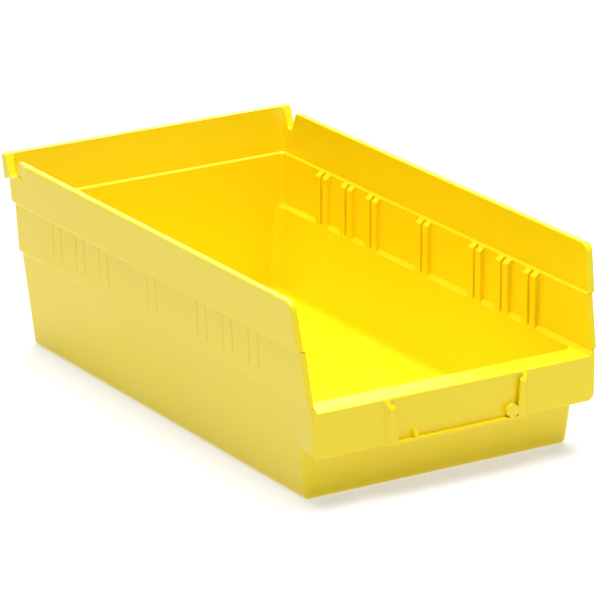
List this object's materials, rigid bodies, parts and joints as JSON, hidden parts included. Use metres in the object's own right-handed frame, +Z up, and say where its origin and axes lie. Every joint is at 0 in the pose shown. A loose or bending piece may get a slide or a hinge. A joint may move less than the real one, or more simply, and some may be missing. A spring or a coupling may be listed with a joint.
{
  "type": "shelf storage bin",
  "caption": "Shallow open-front plastic shelf bin with stepped side walls, divider guides, rear hang lip and label holder on the front lip.",
  "frame": {"origin": "middle of the flat base, centred on the overall length and width", "axes": "+Z up from the base, +Y from the front lip to the hang lip at the back, +X to the right seen from the front"},
  "size_m": [0.1684, 0.2954, 0.1016],
  "materials": {
    "yellow_plastic": "satin"
  },
  "bodies": {
    "root": {"floor_panel": "yellow_plastic", "front_left_corner": "yellow_plastic", "front_right_corner": "yellow_plastic", "front_wall": "yellow_plastic", "label_gusset": "yellow_plastic", "label_left_flange": "yellow_plastic", "label_left_rail": "yellow_plastic", "label_right_flange": "yellow_plastic", "label_right_rail": "yellow_plastic", "label_shelf": "yellow_plastic", "label_stop_boss": "yellow_plastic", "left_guide_1_front_rib": "yellow_plastic", "left_guide_1_rear_rib": "yellow_plastic", "left_guide_2_front_rib": "yellow_plastic", "left_guide_2_rear_rib": "yellow_plastic", "left_guide_3_front_rib": "yellow_plastic", "left_guide_3_rear_rib": "yellow_plastic", "left_guide_4_front_rib": "yellow_plastic", "left_guide_4_rear_rib": "yellow_plastic", "left_guide_5_front_rib": "yellow_plastic", "left_guide_5_rear_rib": "yellow_plastic", "left_guide_6_front_rib": "yellow_plastic", "left_guide_6_rear_rib": "yellow_plastic", "left_guide_7_front_rib": "yellow_plastic", "left_guide_7_rear_rib": "yellow_plastic", "left_lower_wall": "yellow_plastic", "left_middle_band": "yellow_plastic", "left_upper_band": "yellow_plastic", "lip_front_face": "yellow_plastic", "lip_left_end": "yellow_plastic", "lip_right_end": "yellow_plastic", "lip_top_shelf": "yellow_plastic", "rear_hang_lip": "yellow_plastic", "rear_left_corner": "yellow_plastic", "rear_left_rim_corner": "yellow_plastic", "rear_right_corner": "yellow_plastic", "rear_right_rim_corner": "yellow_plastic", "rear_rim_wall": "yellow_plastic", "rear_wall": "yellow_plastic", "right_guide_1_front_rib": "yellow_plastic", "right_guide_1_rear_rib": "yellow_plastic", "right_guide_2_front_rib": "yellow_plastic", "right_guide_2_rear_rib": "yellow_plastic", "right_guide_3_front_rib": "yellow_plastic", "right_guide_3_rear_rib": "yellow_plastic", "right_guide_4_front_rib": "yellow_plastic", "right_guide_4_rear_rib": "yellow_plastic", "right_guide_5_front_rib": "yellow_plastic", "right_guide_5_rear_rib": "yellow_plastic", "right_guide_6_front_rib": "yellow_plastic", "right_guide_6_rear_rib": "yellow_plastic", "right_guide_7_front_rib": "yellow_plastic", "right_guide_7_rear_rib": "yellow_plastic", "right_lower_wall": "yellow_plastic", "right_middle_band": "yellow_plastic", "right_upper_band": "yellow_plastic"}
  },
  "joints": []
}
